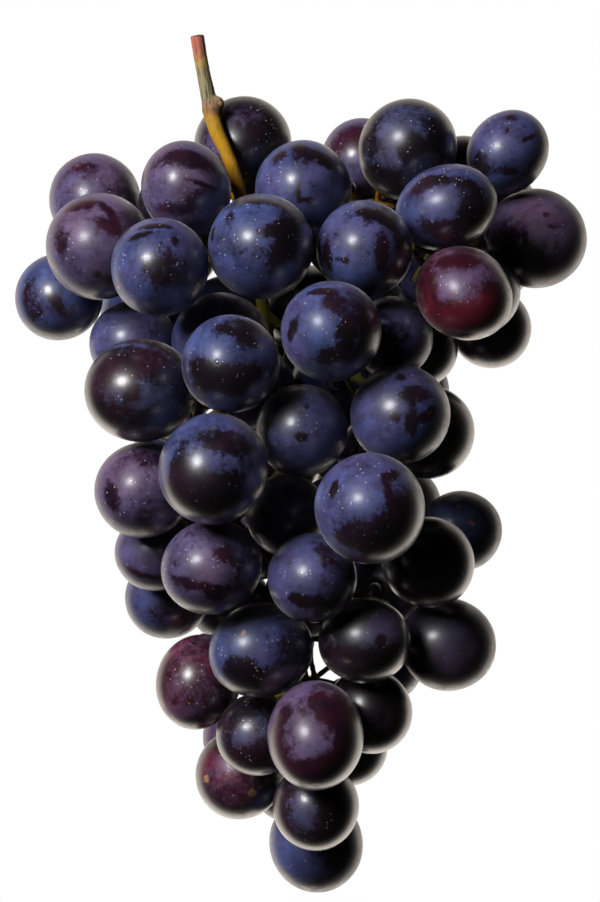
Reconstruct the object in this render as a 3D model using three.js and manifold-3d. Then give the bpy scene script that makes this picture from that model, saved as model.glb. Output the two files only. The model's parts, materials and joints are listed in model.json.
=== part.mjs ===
// A bunch of black grapes, hanging by the cut end of its stalk.
// Millimetres. +Z is up, +X is to the right of the bunch's face, and the face looks towards -Y.
// The origin is the middle of the stalk's cut end, so every height is negative.

import * as THREE from 'three';
import { mergeVertices } from 'three/addons/utils/BufferGeometryUtils.js';
import Module from 'manifold-3d';

const wasm = await Module();
wasm.setup();

// ---- driving dimensions ----

const BERRY_GAP = 0.4; // air between neighbouring berries
const PRESS = 0.92; // berries that press on each other sit at this share of their touching distance
const CAP_GAP = 0.3; // air between a berry and the end of its own stalk
const TWIG_CLEARANCE = 0.45; // air between a stalk and any other berry

const BERRY_SIDES = 12;
const BERRY_RINGS = 5;

const TWIG_RADIUS = 0.85; // a berry's own stalk
const CAP_RADIUS = 1.6; // the flared end that holds the berry
const TWIG_LEAD = 4.0; // the last stretch of a berry's stalk is in line with the berry
const TWIG_REACH = 48; // the longest way from a berry to the branch that carries it
const BRANCH_RADIUS = 1.25;

const SKINS = {
  blue: { color: 0x39415f, roughness: 0.5 },
  purple: { color: 0x43304c, roughness: 0.42 },
  black: { color: 0x191822, roughness: 0.3 },
  red: { color: 0x4a1522, roughness: 0.3 },
};
const STALK_SKIN = { color: 0x9a8a45, roughness: 0.6 };

// ---- the berries ----
// Each row: skin, [right, back, up] of its middle, girth, length, and the way its tip points.

const LEFT_SHOULDER = [
  ['purple', [-25, 12, -39], 22.3, 22.8, [-1, 1, 3]],
  ['purple', [-23, -9, -51], 25.4, 26.2, [-1, -2, 0]],
  ['blue', [-33.5, 8, -62.5], 20.8, 21.4, [-3, 0, -1]],
  ['blue', [-8, -28, -57], 22.8, 23.6, [0, -3, 1]],
  ['purple', [-2.2, -16, -37.9], 21.2, 23, [-1, -1, 3]],
  ['black', [-4, 5, -40.5], 20, 20.6, [-2, 0, 3]],
];

const RIGHT_SHOULDER = [
  ['black', [10.5, 9, -26], 23.6, 24.2, [1, 1, 3]],
  ['blue', [25.5, -10, -37.5], 22.8, 23.2, [1, -3, 2]],
  ['purple', [40, 17, -28.5], 20, 20.6, [1, 2, 2]],
  ['black', [50.5, -2, -27.5], 23.4, 25, [2, -2, 3]],
  ['blue', [59, -17, -42.5], 19.8, 24.4, [6, -2, 2]],
  ['blue', [74.5, 2, -28], 18.8, 21.6, [3, 0, 4]],
  ['purple', [81.5, 8, -48.5], 24, 24.8, [5, 1, -1]],
  ['red', [63, -24, -63], 21.4, 24.4, [4, -3, -3]],
  ['black', [66.5, -2, -62], 20.8, 21.4, [2, 1, -1]],
  ['black', [71, 16, -69.5], 19.6, 20.2, [2, 1, -2]],
];

const BODY = [
  ['blue', [15.5, -28, -52], 24.6, 25.6, [0, -4, 1]],
  ['blue', [40, -24, -52.5], 22.6, 23.6, [0, -4, -1]],
  ['blue', [32, -34, -72], 23.4, 24.2, [0, -4, 1]],
  ['blue', [8.5, -32, -79.5], 22.8, 23.6, [-1, -4, 0]],
  ['blue', [5.5, -11, -74], 23.4, 24, [-2, -3, 0]],
  ['blue', [-15, -2, -74], 20.6, 21.4, [-3, -1, 0]],
  ['black', [-12.4, -21, -86], 24.3, 26.8, [-3, -1, 0]],
  ['blue', [46.5, -16, -73], 19.4, 20, [2, -3, 0]],
  ['black', [53, 1, -75], 19.2, 20, [4, 0, 1]],
  ['blue', [4.5, -34, -104], 25.2, 27.2, [-1, -3, -2]],
  ['purple', [-12, -15, -109], 22.7, 23.4, [-3, -2, -1]],
  ['blue', [25, -22, -95], 21.8, 22.6, [0, -5, -1]],
  ['blue', [48, -27, -91], 23.2, 24, [2, -3, 0]],
  ['black', [55, -4, -95], 22.4, 23, [4, 1, -1]],
  ['purple', [21.5, -10, -115], 19.4, 20, [0, -4, -1]],
  ['blue', [41, -37, -113], 25.6, 26.8, [1, -3, -1]],
  ['blue', [27.5, -26, -129.5], 20.8, 21.6, [1, -4, -1]],
  ['purple', [4, -24, -127], 21.8, 23.8, [-3, -1, -1]],
  ['purple', [-9.5, 1, -123], 19.2, 20, [-3, 0, -1]],
  ['blue', [-7, 17, -134.5], 20.2, 21, [-3, 1, -2]],
];

const TAIL = [
  ['blue', [63, 5, -119], 19.4, 20.2, [4, 1, 0]],
  ['black', [55, -16, -126], 21.6, 22.4, [3, -3, -1]],
  ['purple', [60, -4, -146], 22, 23, [3, 0, -1]],
  ['black', [40, -16, -144.5], 20.4, 22.4, [3, -2, 0]],
  ['blue', [15.5, -15, -147], 22.2, 25.2, [-5, -2, -1]],
  ['red', [0.5, 7, -155.5], 20.4, 23.2, [-1, -1, -4]],
  ['black', [14.5, -3, -167.5], 19.4, 20.2, [-1, -2, -2]],
  ['purple', [28.5, -22, -166.5], 22.6, 27, [0, -2, -3]],
  ['black', [41, -4, -162], 20.6, 21.2, [3, -1, -2]],
  ['red', [10.5, 15, -178], 21.6, 22.6, [-2, 1, -3]],
  ['black', [28.5, -7, -184.5], 20.6, 21.4, [-1, -3, -3]],
  ['blue', [28.5, 14, -195], 22.6, 24, [1, -1, -4]],
  ['black', [36, 13, -171], 19.2, 20, [2, 1, -3]],
];

// The far side, in clusters whose berries press on each other.
const REAR = [
  [
    ['blue', [-21, 30, -50], 20.6, 21.4, [-2, 3, 0]],
    ['black', [-3, 30, -50], 21, 22, [0, 3, 1]],
    ['purple', [-12, 30, -67], 21, 22, [-1, 3, 0]],
  ],
  [
    ['black', [46, 45, -39], 18.6, 19.4, [-2, 3, -1]],
    ['black', [34, 31, -48], 21.6, 22.4, [0, 3, -2]],
    ['blue', [16, 32, -50], 21.6, 22.6, [0, 3, 1]],
    ['blue', [26, 34, -66], 22, 23, [0, 3, 0]],
    ['purple', [20, 45, -81], 19.6, 20.4, [0, 3, 0]],
  ],
  [
    ['black', [64.5, 17, -32.5], 18.2, 19, [1, 2, 3]],
    ['blue', [60, 29, -44], 19, 20, [0, 3, 1]],
    ['purple', [72, 25, -54], 19, 20, [1, 3, 0]],
    ['black', [73, 36, -39], 18.4, 19.2, [1, 3, 1]],
  ],
  [
    ['blue', [7, 30, -66], 21.4, 22.4, [0, 3, 0]],
    ['blue', [14, 28, -85], 21.6, 22.6, [0, 3, -1]],
    ['purple', [-4, 24, -84], 21, 22, [-1, 3, 1]],
    ['black', [-7, 40, -95], 19.6, 20.4, [0, 3, 1]],
  ],
  [
    ['blue', [54, 37, -60], 18.8, 19.6, [0, 3, -1]],
    ['black', [40, 26, -67], 20, 21, [1, 3, 1]],
    ['blue', [32, 29, -84], 22, 23, [0, 3, 0]],
    ['blue', [49, 22, -84], 20.4, 21.4, [2, 3, 0]],
  ],
  [
    ['black', [20, 34, -101], 21, 22, [0, 3, 0]],
    ['blue', [1, 25, -102], 20.6, 21.6, [-1, 3, 0]],
    ['purple', [-4, 16, -116], 19.6, 20.6, [-2, 3, 0]],
  ],
  [
    ['purple', [32, 48, -100], 19.4, 20.2, [1, 3, -2]],
    ['blue', [43, 30, -101], 21.6, 22.6, [1, 3, 0]],
    ['black', [33, 26, -118], 21.6, 22.6, [0, 3, 0]],
    ['purple', [48, 18, -114], 20, 21, [2, 3, 0]],
  ],
  [
    ['purple', [15, 26, -121], 21.4, 22.4, [0, 3, 0]],
    ['blue', [7, 24, -136], 20, 21, [-1, 3, -1]],
    ['black', [24, 26, -134], 21, 22, [0, 3, -1]],
  ],
  [
    ['blue', [45, 22, -133], 21, 22, [1, 3, 0]],
    ['purple', [45, 20, -150], 19.6, 20.6, [2, 3, -1]],
  ],
  [
    ['purple', [16, 22, -149], 20, 21, [-1, 3, 0]],
    ['blue', [21, 24, -164], 19.6, 20.6, [0, 3, -1]],
    ['black', [23, 27, -182], 19.6, 20.6, [0, 3, -2]],
    ['purple', [10, 36, -169], 18.2, 19, [-1, 3, 0]],
  ],
];

// ---- the stalk: its main stem from the cut end to the tail, and its side branches ----

// [height, radius] down the main stem, with the swollen joint just under the clean top
const STEM_GIRTH = [
  [0, 1.8], [-7, 1.72], [-13, 1.8], [-15.5, 2], [-17.6, 2.4], [-20.4, 2.05],
  [-24, 1.95], [-28.5, 1.7], [-60, 1.65], [-110, 1.5], [-178, 1.1],
];

const MAIN_STEM = [
  [0, 0, 0], [0.4, 0, -2.6], [0.8, 0, -5.2], [1.7, 0, -10], [2.5, 0, -14], [3.5, -0.4, -17.6],
  [3.8, -1.2, -20.8], [5, -3.3, -24], [7.2, -6, -28.6], [9.2, -7.8, -34], [10.5, -8.2, -39],
  [12, -7, -47], [14, -3, -56], [16, 0, -66],
  [18, 2, -80], [20, 3, -98], [21.5, 3, -116], [23.5, 3, -134], [25, 2, -150], [27.5, 3, -166],
  [28, 3, -176],
];

const BRANCHES = [
  [[12, -7, -47], [4, 2, -54], [-6, 4, -55], [-14, 5, -53], [-20, 8, -56]], // to the left shoulder
  [[12.5, -6, -49], [25, 6, -47], [37, 6, -42], [48, 4, -40.5], [58, 1, -45], [68, 4, -50]], // to the right
  [[16, 0, -66], [28, 4, -77], [42, 3, -84]],
  [[17.3, 1.3, -75], [8, 3, -88], [-4, 2, -96]],
  [[20, 3, -98], [34, 3, -107], [49, 2, -114]],
  [[20.5, 3, -104], [13, 4, -113], [4, 4, -119]],
  [[22.5, 3, -125], [35, 3, -133], [46, 1, -137]],
  [[24, 2.6, -140], [17, 5, -143], [11, 6, -145]],
];

// ---- where a berry's skin is ----

function makeBerry([skin, at, girth, length, tip], share) {
  return {
    skin,
    at: new THREE.Vector3(...at),
    girth,
    length,
    tip: new THREE.Vector3(...tip).normalize(),
    share, // how freely it gives way across and up; every berry gives way in depth
  };
}

// How far a berry reaches from its middle in one direction.
function reach(berry, direction) {
  const along = berry.tip.dot(direction);
  return Math.hypot(berry.girth / 2 * Math.sqrt(1 - along * along), berry.length / 2 * along);
}

function clearanceOf(point, berry) {
  const away = point.clone().sub(berry.at);
  return away.length() - reach(berry, away.clone().normalize());
}

// ---- settling: berries that crowd each other or the stalk give way ----

function pushApart(first, second, target, onlyCloser) {
  const away = second.at.clone().sub(first.at);
  const distance = away.length();
  away.normalize();
  const wanted = target(reach(first, away) + reach(second, away));
  const missing = wanted - distance;
  if (missing <= 0 && onlyCloser) return;
  const step = away.multiplyScalar(missing * 0.5);
  giveWay(first, step, -1);
  giveWay(second, step, 1);
}

function giveWay(berry, step, sign) {
  berry.at.x += sign * step.x * berry.share;
  berry.at.y += sign * step.y;
  berry.at.z += sign * step.z * berry.share;
}

function settle(berries, clusters, stalkPoints) {
  const rounds = 900;
  const together = new Set(clusters.flatMap((cluster) => cluster.slice(1).map((berry, i) =>
    pairKey(berries, cluster[i], berry))));
  for (let round = 0; round < rounds; round++) {
    for (let i = 0; i < berries.length; i++) {
      for (let j = i + 1; j < berries.length; j++) {
        const joined = together.has(pairKey(berries, berries[i], berries[j]));
        const target = joined ? (touching) => touching * PRESS : (touching) => touching + BERRY_GAP;
        pushApart(berries[i], berries[j], target, !joined);
      }
      for (const { point, radius } of stalkPoints) {
        const missing = radius + TWIG_CLEARANCE - clearanceOf(point, berries[i]);
        if (missing > 0) giveWay(berries[i], berries[i].at.clone().sub(point).setLength(missing), 1);
      }
    }
  }
}

function pairKey(berries, first, second) {
  const [low, high] = [berries.indexOf(first), berries.indexOf(second)].sort((a, b) => a - b);
  return low * berries.length + high;
}

// ---- berry solids ----

function berryGeometry(berry) {
  const profile = [];
  for (let i = 0; i <= BERRY_RINGS + 1; i++) {
    const turn = Math.PI * i / (BERRY_RINGS + 1);
    const radius = i === 0 || i === BERRY_RINGS + 1 ? 0 : berry.girth / 2 * Math.sin(turn);
    profile.push(new THREE.Vector2(radius, -berry.length / 2 * Math.cos(turn)));
  }
  return new THREE.LatheGeometry(profile, BERRY_SIDES);
}

function placedBerryGeometry(berry) {
  const turn = new THREE.Quaternion().setFromUnitVectors(new THREE.Vector3(0, 1, 0), berry.tip);
  const place = new THREE.Matrix4().compose(berry.at, turn, new THREE.Vector3(1, 1, 1));
  return berryGeometry(berry).applyMatrix4(place);
}

// ---- joining solids ----

function toSolid(geometry) {
  const bare = geometry.clone();
  bare.deleteAttribute('normal');
  bare.deleteAttribute('uv');
  const merged = mergeVertices(bare, 1e-4);
  return new wasm.Manifold(new wasm.Mesh({
    numProp: 3,
    vertProperties: new Float32Array(merged.attributes.position.array),
    triVerts: new Uint32Array(merged.index.array),
  }));
}

function joined(geometries) {
  const solid = geometries.map(toSolid).reduce((whole, piece) => whole.add(piece));
  const mesh = solid.getMesh();
  const geometry = new THREE.BufferGeometry();
  geometry.setAttribute('position', new THREE.BufferAttribute(mesh.vertProperties, 3));
  geometry.setIndex(new THREE.BufferAttribute(mesh.triVerts, 1));
  geometry.computeVertexNormals();
  return geometry;
}

// ---- the stalk ----

// A round tube along a curve, whose radius follows radiusAt(share of the way, point).
function taperedTube(curve, radiusAt, sides, steps) {
  const section = new THREE.Shape();
  for (let i = 0; i < sides; i++) {
    const turn = 2 * Math.PI * i / sides;
    section[i === 0 ? 'moveTo' : 'lineTo'](Math.cos(turn), Math.sin(turn));
  }
  const geometry = new THREE.ExtrudeGeometry(section, { steps, extrudePath: curve, bevelEnabled: false });
  const middles = curve.getSpacedPoints(steps);
  const position = geometry.attributes.position;
  const vertex = new THREE.Vector3();
  for (let i = 0; i < position.count; i++) {
    vertex.fromBufferAttribute(position, i);
    const nearest = middles.reduce((best, middle, k) =>
      Math.abs(vertex.distanceTo(middle) - 1) < Math.abs(vertex.distanceTo(middles[best]) - 1) ? k : best, 0);
    const middle = middles[nearest];
    vertex.sub(middle).setLength(radiusAt(nearest / steps, middle)).add(middle);
    position.setXYZ(i, vertex.x, vertex.y, vertex.z);
  }
  return geometry;
}

function curveThrough(points) {
  return new THREE.CatmullRomCurve3(points.map((point) => new THREE.Vector3(...point)));
}

function stemRadius(height) {
  const below = STEM_GIRTH.findIndex(([mark]) => height >= mark);
  if (below === 0) return STEM_GIRTH[0][1];
  if (below < 0) return STEM_GIRTH.at(-1)[1];
  const [upperMark, upperRadius] = STEM_GIRTH[below - 1];
  const [lowerMark, lowerRadius] = STEM_GIRTH[below];
  const share = (upperMark - height) / (upperMark - lowerMark);
  return THREE.MathUtils.lerp(upperRadius, lowerRadius, share);
}

// A berry's stalk is even, and flares at the very end.
function twigRadius(share) {
  return share === 1 ? CAP_RADIUS : TWIG_RADIUS;
}

// Every way that a berry's stalk could take from one point of the stalk to the berry.
function* waysTo(berry, start) {
  const end = berry.at.clone().addScaledVector(berry.tip, -(berry.length / 2 + CAP_GAP));
  const lead = end.clone().addScaledVector(berry.tip, -TWIG_LEAD);
  const middle = start.clone().lerp(lead, 0.5);
  yield new THREE.CubicBezierCurve3(start, middle, lead, end);
  const across = lead.clone().sub(start).normalize();
  const side = new THREE.Vector3(0, 0, 1).cross(across).normalize();
  const rise = across.clone().cross(side);
  for (const bulge of [6, 12, 18, 24]) {
    for (let turn = 0; turn < 2 * Math.PI; turn += Math.PI / 4) {
      const via = middle.clone().addScaledVector(side, bulge * Math.cos(turn));
      via.addScaledVector(rise, bulge * Math.sin(turn));
      yield new THREE.CubicBezierCurve3(start, via, lead, end);
    }
  }
}

function isClear(curve, owner, berries) {
  const samples = 12;
  for (let i = 1; i <= samples; i++) {
    const point = curve.getPoint(i / samples);
    const radius = i > samples - 2 ? CAP_RADIUS : TWIG_RADIUS;
    for (const berry of berries) {
      const wanted = berry === owner ? CAP_GAP * 0.9 : radius + TWIG_CLEARANCE;
      const nearEnd = berry === owner && i > samples - 3;
      if (!nearEnd && clearanceOf(point, berry) < wanted) return false;
    }
  }
  return true;
}

// The shortest clear way from the stalk as it is so far.
function growTwig(berry, berries, stalkPoints) {
  let best = null;
  const near = stalkPoints.filter(({ point }) => point.distanceTo(berry.at) < TWIG_REACH);
  for (const { point } of near) {
    for (const curve of waysTo(berry, point)) {
      const length = curve.getLength();
      if ((best === null || length < best.length) && isClear(curve, berry, berries)) best = { curve, length };
    }
  }
  if (best === null) throw new Error(`no way to the berry at ${berry.at.toArray().map(Math.round)}`);
  return best.curve;
}

function pointsAlong(curve, radius) {
  const count = Math.ceil(curve.getLength() / 3);
  return curve.getSpacedPoints(count).map((point) => ({ point, radius }));
}

// ---- the whole bunch ----

const regions = { left_berry: LEFT_SHOULDER, right_berry: RIGHT_SHOULDER, body_berry: BODY, tail_berry: TAIL };
const FACE_SHARE = 0.12; // the face of the bunch keeps its outline
const REAR_SHARE = 0.5;

const faceBerries = Object.values(regions).flat().map((row) => makeBerry(row, FACE_SHARE));
const clusters = REAR.map((cluster) => cluster.map((row) => makeBerry(row, REAR_SHARE)));
const allBerries = [...faceBerries, ...clusters.flat()];

const stemCurve = curveThrough(MAIN_STEM);
const branchCurves = BRANCHES.map(curveThrough);
const stemPoints = pointsAlong(stemCurve, 0).map(({ point }) => ({ point, radius: stemRadius(point.z) }));
const branchPoints = branchCurves.flatMap((curve) => pointsAlong(curve, BRANCH_RADIUS));
const framework = [...stemPoints, ...branchPoints];
settle(allBerries, clusters, framework);

function skinMaterial(skin) {
  return new THREE.MeshStandardMaterial({ ...skin, metalness: 0 });
}

function namedMesh(name, geometry, skin) {
  const mesh = new THREE.Mesh(geometry, skinMaterial(skin));
  mesh.name = name;
  return mesh;
}

function buildStalk() {
  const topOfBerries = -36; // berries hang from the stalk only below this height
  const grown = framework.filter(({ point }) => point.z < topOfBerries);
  const solids = [
    taperedTube(stemCurve, (share, point) => stemRadius(point.z), 9, 36),
    ...branchCurves.map((curve) => taperedTube(curve, () => BRANCH_RADIUS, 6, 6)),
    new THREE.IcosahedronGeometry(1.15, 1).translate(5.2, -0.7, -16.2), // the scar of a bud on the joint
  ];
  const byNearness = [...allBerries].sort((a, b) => nearestTo(a, framework) - nearestTo(b, framework));
  for (const berry of byNearness) {
    const curve = growTwig(berry, allBerries, grown);
    solids.push(taperedTube(curve, twigRadius, 5, 3));
    grown.push(...pointsAlong(curve, TWIG_RADIUS).slice(1, -2));
  }
  return namedMesh('stem', joined(solids), STALK_SKIN);
}

function nearestTo(berry, points) {
  return Math.min(...points.map(({ point }) => point.distanceTo(berry.at)));
}

const bunch = new THREE.Group();
bunch.add(buildStalk());

let next = 0;
for (const [name, rows] of Object.entries(regions)) {
  rows.forEach((row, i) => {
    const berry = faceBerries[next++];
    const mesh = namedMesh(`${name}_${i + 1}`, berryGeometry(berry), SKINS[berry.skin]);
    mesh.position.copy(berry.at);
    mesh.quaternion.setFromUnitVectors(new THREE.Vector3(0, 1, 0), berry.tip);
    bunch.add(mesh);
  });
}

clusters.forEach((cluster, i) => {
  const geometry = joined(cluster.map(placedBerryGeometry));
  bunch.add(namedMesh(`rear_berries_${i + 1}`, geometry, SKINS[cluster[0].skin]));
});

export default bunch;
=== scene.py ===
"""A bunch of black grapes, hanging by its cut stem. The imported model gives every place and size."""

import json
import math

import bpy
import numpy as np
from mathutils import Matrix, Vector, noise

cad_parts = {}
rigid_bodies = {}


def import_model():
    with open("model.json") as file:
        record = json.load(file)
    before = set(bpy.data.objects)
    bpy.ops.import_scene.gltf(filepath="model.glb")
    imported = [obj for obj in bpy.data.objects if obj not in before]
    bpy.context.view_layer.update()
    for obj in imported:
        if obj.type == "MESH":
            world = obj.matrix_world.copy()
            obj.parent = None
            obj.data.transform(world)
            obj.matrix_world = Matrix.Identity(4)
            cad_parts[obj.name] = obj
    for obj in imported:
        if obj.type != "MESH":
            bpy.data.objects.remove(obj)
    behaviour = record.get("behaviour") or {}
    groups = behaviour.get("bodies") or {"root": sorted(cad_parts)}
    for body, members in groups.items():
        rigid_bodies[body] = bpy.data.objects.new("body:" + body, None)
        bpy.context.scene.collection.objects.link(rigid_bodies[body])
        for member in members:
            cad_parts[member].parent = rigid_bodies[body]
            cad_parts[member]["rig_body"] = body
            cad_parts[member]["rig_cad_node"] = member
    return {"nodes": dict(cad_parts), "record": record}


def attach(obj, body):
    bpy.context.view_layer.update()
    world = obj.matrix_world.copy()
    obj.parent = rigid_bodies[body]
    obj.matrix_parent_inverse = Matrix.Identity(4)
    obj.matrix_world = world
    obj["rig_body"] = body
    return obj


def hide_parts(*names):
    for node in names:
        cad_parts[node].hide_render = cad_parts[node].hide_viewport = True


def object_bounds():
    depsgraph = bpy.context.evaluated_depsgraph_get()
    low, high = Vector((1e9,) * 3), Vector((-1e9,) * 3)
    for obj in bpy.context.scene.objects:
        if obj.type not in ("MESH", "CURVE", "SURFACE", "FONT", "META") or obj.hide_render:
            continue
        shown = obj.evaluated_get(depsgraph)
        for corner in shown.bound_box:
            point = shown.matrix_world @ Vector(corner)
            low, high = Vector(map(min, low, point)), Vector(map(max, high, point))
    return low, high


MM = 0.001

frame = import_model()
CAD_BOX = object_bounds()


# ---- the camera: level with the middle of the bunch, square to its face ----

CAMERA_DISTANCE = 1.0
CAMERA_PLACE = (24.7 * MM, -CAMERA_DISTANCE, -99.8 * MM)
CAMERA_LENS = 166.3

camera_data = bpy.data.cameras.new("camera")
camera_data.lens = CAMERA_LENS
camera = bpy.data.objects.new("camera", camera_data)
camera.location = CAMERA_PLACE
camera.rotation_euler = (math.radians(90), 0, 0)
bpy.context.scene.collection.objects.link(camera)
bpy.context.scene.camera = camera


# ---- light: a soft key from the upper left, in a white room that is dark around the camera ----

MIDDLE = Vector((24.0 * MM, 0.0, -100.0 * MM))
LIGHT_DISTANCE = 1.0
KEY_FROM = (-0.63, -0.55, 0.55)
KEY_SIZE = 0.55
KEY_POWER = 24.0
GLINT_FROM = (-0.48, -0.80, 0.36)
GLINT_SIZE = 0.26
GLINT_POWER = 4.6

# The room: how strongly it shines round the camera and behind the bunch, and how far back it turns white.
ROOM_TINT = (1.0, 0.91, 0.82, 1)
DARK_FRONT = 0.005
WHITE_BACK = 1.1
BACK_BEGINS = 0.36
BACK_IS_FULL = 0.62
# It shines more from low down than from high up, and less on soft colour than in reflections.
LOW_LEVEL = -0.65
HIGH_LEVEL = 0.6
LOW_STRENGTH = 1.6
HIGH_STRENGTH = 0.4
SOFT_SHARE = 0.14


def soft_light(name, direction, size, power):
    """A round area light that looks at the middle of the bunch."""
    data = bpy.data.lights.new(name, "AREA")
    data.shape = "DISK"
    data.size = size
    data.energy = power
    light = bpy.data.objects.new(name, data)
    away = Vector(direction).normalized()
    light.location = MIDDLE + away * LIGHT_DISTANCE
    light.rotation_euler = away.to_track_quat("Z", "Y").to_euler()
    light.visible_camera = False
    bpy.context.scene.collection.objects.link(light)
    return light


def studio_lights():
    """The key lights the colours only, and the glint gives the highlights only."""
    key = soft_light("key", KEY_FROM, KEY_SIZE, KEY_POWER)
    key.visible_glossy = False
    glint = soft_light("glint", GLINT_FROM, GLINT_SIZE, GLINT_POWER)
    glint.visible_diffuse = False


def map_range(tree, value, span, ends, kind="SMOOTHSTEP"):
    """Maps the span of a value to the two ends, and stays at an end beyond the span."""
    node = tree.nodes.new("ShaderNodeMapRange")
    node.interpolation_type = kind
    for socket, number in zip(list(node.inputs)[1:5], (*span, *ends)):
        socket.default_value = number
    tree.links.new(value, node.inputs["Value"])
    return node.outputs[0]


def product(tree, first, second):
    node = tree.nodes.new("ShaderNodeMath")
    node.operation = "MULTIPLY"
    tree.links.new(first, node.inputs[0])
    tree.links.new(second, node.inputs[1])
    return node.outputs[0]


def studio_world():
    """White to the camera; to the bunch it is white behind and dark in front, as a lit sweep is."""
    world = bpy.data.worlds.new("studio")
    world.use_nodes = True
    tree = world.node_tree
    tree.nodes.clear()
    add = tree.nodes.new
    link = tree.links.new
    split = add("ShaderNodeSeparateXYZ")
    link(add("ShaderNodeTexCoord").outputs["Generated"], split.inputs[0])
    ray = add("ShaderNodeLightPath").outputs
    back_span = (BACK_BEGINS, BACK_IS_FULL)
    behind = map_range(tree, split.outputs["Y"], back_span, (DARK_FRONT, WHITE_BACK))
    level_span = (LOW_LEVEL, HIGH_LEVEL)
    sweep = map_range(tree, split.outputs["Z"], level_span, (LOW_STRENGTH, HIGH_STRENGTH), "LINEAR")
    spread = map_range(tree, ray["Is Diffuse Ray"], (0, 1), (1, SOFT_SHARE), "LINEAR")
    room = add("ShaderNodeBackground")
    room.inputs["Color"].default_value = ROOM_TINT
    link(product(tree, product(tree, behind, sweep), spread), room.inputs["Strength"])
    seen = add("ShaderNodeBackground")
    seen.inputs["Color"].default_value = (1, 1, 1, 1)
    mix = add("ShaderNodeMixShader")
    link(ray["Is Camera Ray"], mix.inputs[0])
    link(room.outputs[0], mix.inputs[1])
    link(seen.outputs[0], mix.inputs[2])
    out = add("ShaderNodeOutputWorld")
    link(mix.outputs[0], out.inputs[0])
    bpy.context.scene.world = world


studio_lights()
studio_world()
bpy.context.scene.view_settings.view_transform = "Standard"


# ---- materials ----


class Nodes:
    """A short way to write a node tree: each method adds its nodes and returns an output."""

    def __init__(self, name):
        self.material = bpy.data.materials.new(name)
        self.material.use_nodes = True
        self.tree = self.material.node_tree
        self.shader = self.tree.nodes["Principled BSDF"]

    def feed(self, socket, value):
        """Links an output to a socket, or sets the socket to a number or colour."""
        if isinstance(value, bpy.types.NodeSocket):
            self.tree.links.new(value, socket)
        elif value is not None:
            socket.default_value = value

    def add(self, kind, out=0, settings=None, **inputs):
        """Any node: its settings, its inputs by name, and which output to return."""
        node = self.tree.nodes.new(kind)
        for key, value in (settings or {}).items():
            setattr(node, key, value)
        for key, value in inputs.items():
            self.feed(node.inputs[key.replace("_", " ")], value)
        return node.outputs[out]

    def math(self, operation, first, second=None, third=None):
        node = self.tree.nodes.new("ShaderNodeMath")
        node.operation = operation
        for socket, value in zip(node.inputs, (first, second, third)):
            self.feed(socket, value)
        return node.outputs[0]

    def times(self, first, second):
        return self.math("MULTIPLY", first, second)

    def vector_math(self, operation, first, second, out=0):
        result = self.add("ShaderNodeVectorMath", out=out, settings={"operation": operation}, Vector=first)
        self.feed(result.node.inputs[1], second)
        return result

    def blur_step(self, value, low, high, start=0.0, end=1.0):
        """A soft step from start to end, as the value goes from low to high."""
        return map_range(self.tree, value, (low, high), (start, end))

    def blend(self, share, first, second):
        """The first colour where the share is 0, the second where it is 1."""
        node = self.tree.nodes.new("ShaderNodeMix")
        node.data_type = "RGBA"
        self.feed(node.inputs[0], share)
        self.feed(node.inputs[6], first)
        self.feed(node.inputs[7], second)
        return node.outputs[2]

    def noise(self, at, scale, seed, detail, roughness=0.55):
        return self.add(
            "ShaderNodeTexNoise",
            settings={"noise_dimensions": "4D"},
            Vector=at,
            W=seed,
            Scale=scale,
            Detail=detail,
            Roughness=roughness,
        )

    def swing(self, at, scale, seed, detail, roughness=0.55):
        """Noise that swings about zero."""
        return self.math("SUBTRACT", self.noise(at, scale, seed, detail, roughness), 0.5)

    def spots(self, at, scale, size, share):
        """Round spots in a share of the cells: 1 in a spot's middle, 0 outside it."""
        node = self.tree.nodes.new("ShaderNodeTexVoronoi")
        self.feed(node.inputs["Vector"], at)
        self.feed(node.inputs["Scale"], scale)
        dot = self.blur_step(node.outputs["Distance"], size, size * 0.4)
        split = self.add("ShaderNodeSeparateColor", Color=node.outputs["Color"])
        return self.times(dot, self.math("LESS_THAN", split, share))

    def oval_at(self, here, point, radius):
        """1 inside a small round mark at a point of the skin, 0 outside it."""
        away = self.vector_math("DISTANCE", here, point, out="Value")
        return self.blur_step(away, radius * 1.25, radius * 0.7)


# ---- the skin of a grape ----

SPECK = (0.50, 0.44, 0.46, 1)
DRY_SCAR = (0.30, 0.15, 0.07, 1)
DRY_TIP = (0.06, 0.035, 0.03, 1)
SHEEN_TINT = (1.0, 0.92, 0.86, 1)
TIP_RADIUS = 0.45 * MM
RAGGED_BY = 3.0 * MM  # from the one extreme to the other, of how patch edges wander
SKIN_RELIEF = 0.05 * MM

# Patterns, as noise scale, per metre
RAGGED_EDGES = 330.0
CLOUDS = 120.0
CRUMBS = 620.0
STROKES = 420.0
POWDER = 1500.0
THIN_PLACES = 160.0
PIT_CLUSTERS = 170.0
PITS = 420.0
GRAIN = 2300.0
MOTTLE = 75.0
TINT = 62.0
DUSTY_SIDES = 95.0
SPECKS = 950.0
BIG_SPECKS = 560.0

# How much of each pattern there is in the bloom
CRUMB_SHARE = 1.9
POWDER_SHARE = 1.2
STROKE_SHARE = 1.1
STROKE_LENGTHENING = (1.0, 0.22, 1.0)


def ragged_shift(n, here):
    """A small wandering step that roughens the edge of a pattern."""
    uneven = {"Scale": RAGGED_EDGES, "Detail": 5.0, "Roughness": 0.65}
    wobble = n.add("ShaderNodeTexNoise", out="Color", Vector=here, **uneven)
    wobble = n.vector_math("SUBTRACT", wobble, (0.5, 0.5, 0.5))
    return n.add("ShaderNodeVectorMath", settings={"operation": "SCALE"}, Vector=wobble, Scale=RAGGED_BY)


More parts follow.
